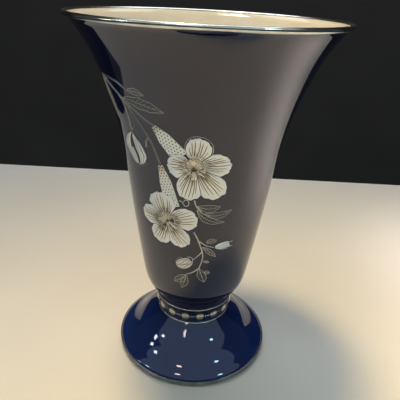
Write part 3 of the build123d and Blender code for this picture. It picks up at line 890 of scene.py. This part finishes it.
class Look:
    """A material with a principled shader, and the nodes that feed it."""

    def __init__(self, name):
        self.material = bpy.data.materials.new(name)
        self.material.use_nodes = True
        self.nodes = self.material.node_tree.nodes
        self.links = self.material.node_tree.links

    def fill(self, node, values):
        """Link a node's inputs from sockets, or set them to values."""
        for name, value in values.items():
            if isinstance(value, bpy.types.NodeSocket):
                self.links.new(value, node.inputs[name])
            else:
                node.inputs[name].default_value = value

    def add(self, kind, output, values):
        node = self.nodes.new(kind)
        self.fill(node, values)
        return node.outputs[output]

    def shade(self, values):
        """The material, once its shader's inputs are filled."""
        self.fill(self.nodes["Principled BSDF"], values)
        return self.material

    def place(self):
        """Where a point lies in the object's own metres."""
        return self.add("ShaderNodeTexCoord", "Object", {})

    def noise(self, scale, detail=2.0):
        values = {"Vector": self.place(), "Scale": scale, "Detail": detail}
        return self.add("ShaderNodeTexNoise", "Fac", values)

    def ramp(self, source, places, colours):
        """Colours spread over a source's range."""
        node = self.nodes.new("ShaderNodeValToRGB")
        elements = node.color_ramp.elements
        while len(elements) < len(places):
            elements.new(0.5)
        for element, place, colour in zip(elements, places, colours):
            element.position = place
            element.color = (*colour, 1)
        self.fill(node, {"Fac": source})
        return node.outputs["Color"]

    def remap(self, source, before, after):
        """A source's range carried to another."""
        names = ("Value", "From Min", "From Max", "To Min", "To Max")
        values = dict(zip(names, (source, *before, *after)))
        return self.add("ShaderNodeMapRange", "Result", values)

    def low_down(self, above, below):
        """Nought above one height in metres, one below the other."""
        height = self.add("ShaderNodeSeparateXYZ", "Z", {"Vector": self.place()})
        return self.remap(height, (above, below), (0.0, 1.0))

    def blend(self, factor, first, second):
        node = self.nodes.new("ShaderNodeMix")
        node.data_type = "RGBA"
        self.fill(node, {"Factor": factor, 6: first, 7: second})
        return node.outputs[2]

    def bump(self, source, strength, distance):
        """A bump of a distance in metres."""
        values = {"Height": source, "Strength": strength, "Distance": distance}
        return self.add("ShaderNodeBump", "Normal", values)


def make_cobalt():
    """Deep cobalt glaze, a little uneven in depth and skin, and bluer on the foot: painted
    light.
    """
    look = Look("cobalt_glaze")
    cloud = look.noise(45, 3)
    body = look.ramp(cloud, GLAZE_STOPS, BODY_BLUE)
    # Painted light: the glaze is given a brighter blue on the foot, which faces up to the lamps
    foot = look.ramp(cloud, GLAZE_STOPS, FOOT_BLUE_WITH_PAINTED_LIGHT)
    return look.shade({
        "Base Color": look.blend(look.low_down(above=0.042, below=0.026), body, foot),
        "Roughness": look.remap(look.noise(260), TINT_STOPS, (0.03, 0.055)),
        "IOR": 1.69,
        "Specular Tint": (0.84, 0.87, 1.0, 1.0),
        "Normal": look.bump(look.noise(150, 1), 0.05, 0.0002),
    })


def make_porcelain():
    """Cream glazed porcelain, bare and chalky on the resting ring."""
    look = Look("porcelain")
    cream = look.ramp(look.noise(70, 4), TINT_STOPS, CREAM)
    clay = look.ramp(look.noise(900, 3), TINT_STOPS, CLAY)
    bare = look.low_down(above=0.0009, below=0.0005)
    return look.shade({
        "Base Color": look.blend(bare, cream, clay),
        "Roughness": look.remap(bare, (0.0, 1.0), (0.06, 0.8)),
        "IOR": 1.5,
        "Normal": look.bump(look.noise(220, 2), 0.06, 0.0002),
    })


def make_slip():
    """Fired slip, matt and grainy."""
    look = Look("slip")
    return look.shade({
        "Base Color": look.ramp(look.noise(800, 3), TINT_STOPS, SLIP),
        "Roughness": 0.6,
        "Normal": look.bump(look.noise(900, 3), 0.2, 0.0003),
    })


def make_polished():
    """Polished silver, faintly toned, with fine wear, and darker low down on the foot."""
    look = Look("polished_silver")
    cloud = look.noise(120, 4)
    high_bright = look.ramp(cloud, TINT_STOPS, HIGH_SILVER)
    low_dark = look.ramp(cloud, TINT_STOPS, LOW_DARK_SILVER)
    return look.shade({
        "Base Color": look.blend(look.low_down(above=0.016, below=0.010), high_bright, low_dark),
        "Metallic": 1.0,
        "Roughness": look.remap(look.noise(700, 4), TINT_STOPS, (0.12, 0.24)),
        "Normal": look.bump(look.noise(1600, 2), 0.04, 0.0001),
    })


def make_silver(name, colours, rough):
    """Satin silver whose engraved lines are darkened, by the tone painted on the mesh."""
    look = Look(name)
    tone = look.nodes.new("ShaderNodeAttribute")
    tone.attribute_name = "tone"
    grain = look.noise(1400, 3)
    grained = look.nodes.new("ShaderNodeMath")
    grained.operation = "MULTIPLY_ADD"
    look.fill(grained, {0: grain, 1: 0.16, 2: tone.outputs["Fac"]})
    worn = (rough - SILVER_WEAR, rough + SILVER_WEAR)
    return look.shade({
        "Base Color": look.ramp(grained.outputs["Value"], SILVER_STOPS, colours),
        "Metallic": 0.85,
        "Roughness": look.remap(grain, TINT_STOPS, worn),
        "Normal": look.bump(grain, 0.12, 0.0001),
    })


# Finishes: each material with the name of a slot, which the meshes do not use
cobalt = make_cobalt(), "cobalt_glaze"
porcelain = make_porcelain(), "porcelain"
slip = make_slip(), "slip"
polished = make_polished(), "polished_silver"
satin = make_silver("satin_silver", SATIN_WITH_PAINTED_REFLECTION, 0.4), "satin_silver"
lined = make_silver("line_silver", LINED, 0.45), "line_silver"
warm = make_silver("heart_silver", WARM, 0.4), "satin_silver"
# The hanging bud's silver is a brighter copy of satin silver: painted light
bud_painted_light = make_silver("bud_silver_painted_light", BUD_SILVER_PAINTED_LIGHT, 0.52), "satin_silver"
beaded = make_silver("bead_silver", BEADED, 0.3), "polished_silver"


# Body and foot


def make_vessel():
    side = np.vstack([body_side, lip[1:]])
    stub = ((SPIGOT_RADIUS, seat_height - SPIGOT_DEPTH), (SPIGOT_RADIUS, seat_height))
    axis = ((0.0, floor_centre[1]), (0.0, seat_height - SPIGOT_DEPTH))
    body = np.vstack([shifted(side, -under_glaze), shifted(inside_down, 0)[:-1], axis, stub])
    lathe("trumpet_body_porcelain", body, porcelain, "trumpet_body")
    lathe("body_cobalt", coat(side, -GLAZE, 0), cobalt, "body_glaze")
    top = ((NECK_BORE[0], neck_top),)
    base = ((RING_INSIDE, 0.0), (RING_OUTSIDE, 0.0))
    hollow_down = shifted(foot_hollow, 0)[::-1][:-1]
    foot = np.vstack([base, shifted(foot_side, -under_glaze), top, hollow_down])
    lathe("pedestal_foot_porcelain", foot, porcelain, "pedestal_foot")
    lathe("foot_cobalt", coat(foot_side, -GLAZE, 0), cobalt, "foot_glaze")
    outer = SEAM[0] - GLAZE
    inner = NECK_BORE[0]
    ring = ((inner, neck_top), (outer, neck_top), (outer, seat_height), (inner, seat_height))
    lathe("slip_seam_ring", ring, slip, "slip_seam")


def make_bands():
    side_length = side_lengths[-1]
    skirt = stretch(body_side, side_length - LIP_BAND_OUTSIDE, side_length)
    lining = stretch(inside_down, 0, LIP_BAND_INSIDE)
    rim = np.vstack([skirt, stretch(lip, 0, lengths(lip)[-1])[1:], lining[1:]])
    lathe("lip_band_silver", band(rim, SILVER), polished, "lip_band")
    low = lengths(foot_edge)[-1]
    high = low + lengths(collar)[-1]
    for name, middle in (("collar_lower_rail", low), ("collar_upper_rail", high)):
        rail = stretch(foot_side, middle - RAIL_WIDTH / 2, middle + RAIL_WIDTH / 2)
        lathe(name + "_silver", band(rail, RAIL_HEIGHT), polished, name)
    edge = stretch(foot_side, 0, FOOT_BAND_WIDTH)
    lathe("foot_band_silver", band(edge, SILVER), polished, "foot_band")


def make_beads():
    """Low domes round the collar, joined by a thin line."""
    middle = lengths(collar)[-1] / 2
    radius = at_length(collar, middle)[0]
    pitch = tau / BEAD_COUNT
    clear = (BEAD_RADIUS + PARTING) / radius
    ring, round_turn = disc(rings=10, turns=28)
    ball = (BEAD_RADIUS ** 2 + BEAD_HEIGHT ** 2) / (2 * BEAD_HEIGHT)
    rise = np.sqrt(ball ** 2 - (BEAD_RADIUS * ring) ** 2) - ball + BEAD_HEIGHT
    tone = np.clip(0.42 * wave(ring, 0.5) + 0.9 * wave(ring - 1, 0.16), 0, 1)
    up = np.linspace(-1, 1, num=5)[None, :]
    beads = Overlay()
    links = Overlay()
    for number in range(BEAD_COUNT):
        turn = pitch * (number + 0.5)
        across = turn + BEAD_RADIUS * ring * np.cos(round_turn) / radius
        along = middle + BEAD_RADIUS * ring * np.sin(round_turn)
        beads.sheet(across, along, rise, tone, closed=True, on=on_collar)
        strip = np.linspace(turn + clear, turn + pitch - clear, num=12)[:, None]
        wide = middle + up * LINK_WIDTH / 2 + 0 * strip
        links.sheet(strip, wide, SILVER * dome(up), on=on_collar)
    beads.make("collar_beads", beaded)
    links.make("collar_bead_links", polished)


# The silver spray


def draw_heart(overlay, middle, throat, fan):
    """A striped disc with a pit at the throat, darker under a fan of stamens."""
    ring, turn = disc(*HEART_GRID)
    across = HEART_RADIUS * ring * np.cos(turn)
    up = HEART_RADIUS * ring * np.sin(turn)
    stripes = (0.5 + 0.5 * np.cos(turn * STRIPES)) * ring
    aside, above = across - throat[0], up - throat[1]
    pit = wave(np.hypot(aside, above), THROAT_RADIUS)
    height = SILVER * dome(ring, HEART_EDGE_POWER) - STRIPE_DEPTH * stripes - ENGRAVED * pit
    facing = radians((fan[0] + fan[1]) / 2)
    under_fan = np.clip(aside * cos(facing) + above * sin(facing), 0, FAN_SHADE) / FAN_SHADE
    grain = random.random(across.shape) - 0.5
    tone = np.clip(0.34 + 0.2 * stripes + 0.4 * pit + 0.4 * under_fan + 0.3 * grain, 0, 1)
    overlay.sheet(middle[0] + across, middle[1] + up, height, tone, closed=True)


def draw_star(overlay, middle):
    """A low star with a dark middle and rim."""
    ring, turn = disc(*HEART_GRID)
    radius = STAR_RADIUS * ring * (STAR_FORM[0] + STAR_FORM[1] * np.cos(turn * STAR_POINTS))
    x = middle[0] + radius * np.cos(turn)
    y = middle[1] + radius * np.sin(turn)
    tone = 0.75 * wave(ring, 0.3) + 0.5 * wave(ring - 1, 0.2)
    overlay.sheet(x, y, LINE_HEIGHT * dome(ring), tone, STAR_LIFT, closed=True)


def draw_stamens(overlay, middle, first, last, count, start, reach):
    for ray in range(count):
        even = first + (last - first) * (ray + 0.5) / count
        angle = radians(even + STAMEN_STRAY * random.normal())
        far = reach * (STAMEN_REACH[0] + STAMEN_REACH[1] * random.random())
        along = np.linspace(start, far, num=12)[:, None]
        bend = angle + STAMEN_BEND * random.normal() * (along / far) ** 2
        run = middle + along * np.hstack([np.cos(bend), np.sin(bend)])
        overlay.line(run, STAMEN_WIDTHS, tone=0.02, lift=STAMEN_LIFT)


def make_blossom(name, blossom, star, throat, fans, halos=()):
    """Petals, and a heart with a raised star, a dark throat and fans of stamens."""
    petals = Overlay()
    for number in range(len(blossom.petals)):
        blossom.draw_petal(petals, number)
    for number, outside in halos:
        petals.line(blossom.rim_line(number, outside), FINE_WIDTHS, tone=0.35)
    petals.make(name + "_petals", satin)
    heart = Overlay()
    draw_heart(heart, blossom.heart, throat, fans[0])
    draw_star(heart, np.add(blossom.heart, star))
    for fan in fans:
        draw_stamens(heart, np.add(blossom.heart, throat), *fan)
    heart.make(name + "_heart", warm)


def make_tubes():
    tubes = (
        ("upper_blossom_tube", UPPER_TUBE, (upper_blossom,)),
        ("lower_blossom_tube", LOWER_TUBE, (upper_blossom, lower_blossom)),
    )
    for name, tube, blossoms in tubes:
        drawn = Overlay()
        draw_tube(drawn, *tube, blossoms)
        drawn.make(name, satin)


class Bud:
    """A bud between two sides, each a line from its base to its tip."""

    def __init__(self, left, right):
        self.sides = smooth(left), smooth(right)
        self.length = lengths(self.sides[0])[-1]
        x, y = self.spot(np.linspace(0, 1, num=40)[:, None], np.array([[-1.0, 1.0]]))
        self.width = np.hypot(x[:, 1] - x[:, 0], y[:, 1] - y[:, 0]).max()

    def spot(self, along, across):
        """A point along the bud from base to tip and across it from -1 to 1."""
        ends = []
        for side in self.sides:
            marks = np.linspace(0, 1, len(side))
            ends.append([np.interp(along, marks, side[:, axis]) for axis in (0, 1)])
        left, right = ends
        return [(left[axis] * (1 - across) + right[axis] * (1 + across)) / 2 for axis in (0, 1)]


def oval_bud(base, tip, width):
    span = np.subtract(tip, base)
    aside = np.array([-span[1], span[0]]) / hypot(*span)
    share = np.linspace(0, 1, num=60)[:, None]
    half = width / 2 * BUD_FORM[0] * share ** BUD_FORM[1] * np.sqrt(1 - share)
    return Bud(base + span * share - aside * half, base + span * share + aside * half)


def draw_fold(overlay, bud, low, high, lines, first, last, shade):
    """Part of a bud between two shares of its width, with engraved lines along it."""
    breadth = bud.width * (high - low) / 2
    place = np.linspace(0, 1, max(int(breadth / FOLD_COLUMN), 8))[None, :]
    rows = max(int(bud.length * (last - first) / FOLD_ROW), 6)
    along = np.linspace(first, last, rows)[:, None]
    x, y = bud.spot(along, low + (high - low) * place)
    cuts = np.zeros_like(x)
    swing, waves, step = FOLD_WAVE
    for line in range(lines):
        middle = (line + 1) / (lines + 1) + swing * np.sin(along * waves + line * step)
        cuts = np.maximum(cuts, wave((place - middle) * breadth, FOLD_LINE))
    border = np.minimum(place, 1 - place) * breadth
    height = SILVER * rounded(border, SOFT_EDGE) - ENGRAVED * cuts + SWELL * np.sin(place * pi)
    tone = 0.7 * cuts + shade + 0.25 * wave(border, 0.2)
    overlay.sheet(x, y, height, np.clip(tone, 0, 1))


def draw_sepals(overlay, paths, widths, tone):
    for path in paths:
        overlay.line(smooth(path), widths, tone=tone)


def make_buds():
    hanging = Overlay()
    bud = Bud(HANGING_LEFT, HANGING_RIGHT)
    for fold in HANGING_FOLDS:
        draw_fold(hanging, bud, *fold)
    first, last, count, start, reach = HANGING_FRILL
    centre = np.array(bud.spot(FRILL_CENTRE, 0.0))
    for along in np.linspace(first, last, count):
        for side in (-1.0, 1.0):
            edge = np.array(bud.spot(along, side))
            ahead = (edge - centre) / hypot(*(edge - centre))
            run = edge + ahead * np.linspace(start, reach, num=6)[:, None]
            hanging.line(run, FINE_WIDTHS, tone=0.45)
    draw_sepals(hanging, HANGING_SEPALS, FINE_WIDTHS, tone=0.45)
    # The hanging bud takes the brighter silver with painted light
    hanging.make("hanging_bud", bud_painted_light)
    ball = Overlay()
    bud = oval_bud(*ROUND_BUD)
    draw_fold(ball, bud, *ROUND_FOLD)
    draw_sepals(ball, ROUND_SEPALS, widths=(0.5, 0.3), tone=0.15)
    count, first, step, across, radius = ROUND_DOTS
    for number in range(count):
        ball.dot(bud.spot(first + step * number, across), radius)
    ball.make("round_bud", satin)
    side = Overlay()
    draw_fold(side, oval_bud(*SIDE_BUD), *SIDE_FOLD)
    draw_sepals(side, SIDE_SEPALS, FINE_WIDTHS, tone=0.2)
    side.make("side_bud", satin)


def make_stems():
    main = Overlay()
    for route in MAIN_STEMS:
        for side in (-1, 1):
            run = beside(uncovered(smooth(route)), side * STEM_PAIR)
            main.line(run, FINE_WIDTHS)
    main.make("main_stems", lined)
    groups = (
        ("middle_stem", (MIDDLE_STEM,), STEM_WIDTHS),
        ("sprig_stems", SPRIG_STEMS, STEM_WIDTHS),
        ("scroll", (SCROLL,), SCROLL_WIDTHS),
    )
    for name, routes, widths in groups:
        drawn = Overlay()
        for route in routes:
            drawn.line(uncovered(smooth(route)), widths)
        drawn.make(name, lined)


def make_leaves():
    groups = (
        ("edge_leaf", (EDGE_LEAF,), 0.0),
        ("upper_leaves", UPPER_LEAVES, 0.2),
        ("middle_leaves", MIDDLE_LEAVES, 0.1),
        ("sprig_leaves", SPRIG_LEAVES, 0.25),
    )
    for name, blades, teeth in groups:
        drawn = Overlay()
        for blade in blades:
            draw_leaf(drawn, blade, teeth)
        drawn.make(name, lined)


# Stage, lights and camera


def make_plane(name, corners, look_name, grain, colours, rough):
    look = Look(look_name)
    tint = look.ramp(look.noise(grain), TINT_STOPS, colours)
    material = look.shade({"Base Color": tint, "Roughness": rough})
    mesh = bpy.data.meshes.new(name)
    mesh.from_pydata(corners, [], [(0, 1, 2, 3)])
    mesh.materials.append(material)
    plane = bpy.data.objects.new(name, mesh)
    bpy.context.scene.collection.objects.link(plane)


def make_stage():
    sides = ((FLOOR_LEFT, FLOOR_FRONT), (FLOOR_RIGHT, FLOOR_FRONT),
             (FLOOR_RIGHT, FLOOR_BACK), (FLOOR_LEFT, FLOOR_BACK))
    corners = [(x, y, 0) for x, y in sides]
    make_plane("floor", corners, "pale_floor", 6, FLOOR, 0.6)
    sides = ((-BACKDROP_HALF, BACKDROP_LOW), (BACKDROP_HALF, BACKDROP_LOW),
             (BACKDROP_HALF, BACKDROP_HIGH), (-BACKDROP_HALF, BACKDROP_HIGH))
    corners = [(x, BACKDROP_PLACE, z) for x, z in sides]
    make_plane("backdrop", corners, "dark_backdrop", 3, BACKDROP, 0.9)


def make_light(name, place, aim, size, power, colour, spread=180, shape="RECTANGLE"):
    light = bpy.data.lights.new(name, "AREA")
    light.shape = shape
    light.size, light.size_y = size
    light.energy = power
    light.color = colour
    light.spread = radians(spread)
    lamp = bpy.data.objects.new(name, light)
    lamp.location = place
    ahead = Vector(aim) - Vector(place)
    lamp.rotation_euler = ahead.to_track_quat("-Z", "Y").to_euler()
    lamp.visible_camera = False
    bpy.context.scene.collection.objects.link(lamp)


def make_lights():
    for light in LIGHTS:
        make_light(*light)
    for name, turn, rise, power, colour in LAMPS:
        turn, rise = radians(turn), radians(rise)
        level = LAMP_AWAY * cos(rise)
        place = (level * sin(turn), -level * cos(turn), LAMP_AWAY * sin(rise))
        make_light(name, place, VASE_MIDDLE, (LAMP_SIZE, LAMP_SIZE), power, colour)
    world = bpy.data.worlds.new("studio")
    world.use_nodes = True
    sky = world.node_tree.nodes["Background"]
    sky.inputs["Color"].default_value = (0.9, 0.97, 1.0, 1)
    sky.inputs["Strength"].default_value = 0.05
    bpy.context.scene.world = world


def make_camera():
    pitch, yaw, roll = radians(CAMERA_PITCH), radians(CAMERA_YAW), radians(CAMERA_ROLL)
    ahead = Vector((sin(yaw) * cos(pitch), cos(yaw) * cos(pitch), -sin(pitch)))
    right = Vector((cos(yaw), -sin(yaw), 0))
    up = right.cross(ahead)
    level = cos(roll) * right + sin(roll) * up
    upright = -sin(roll) * right + cos(roll) * up
    data = bpy.data.cameras.new("camera")
    data.sensor_width = SENSOR
    data.lens = CAMERA_LENS
    data.clip_start = 0.01
    camera = bpy.data.objects.new("camera", data)
    turned = Matrix((level, upright, -ahead)).transposed()
    camera.matrix_world = Matrix.Translation(CAMERA_PLACE) @ turned.to_4x4()
    bpy.context.scene.collection.objects.link(camera)
    bpy.context.scene.camera = camera


make_vessel()
make_bands()
make_beads()
make_blossom("upper_blossom", upper_blossom, UPPER_STAR, UPPER_THROAT, UPPER_FANS, UPPER_HALOS)
make_blossom("lower_blossom", lower_blossom, LOWER_STAR, LOWER_THROAT, LOWER_FANS)
make_tubes()
make_buds()
make_stems()
make_leaves()
make_stage()
make_lights()
make_camera()
bpy.context.scene.view_settings.view_transform = "Standard"
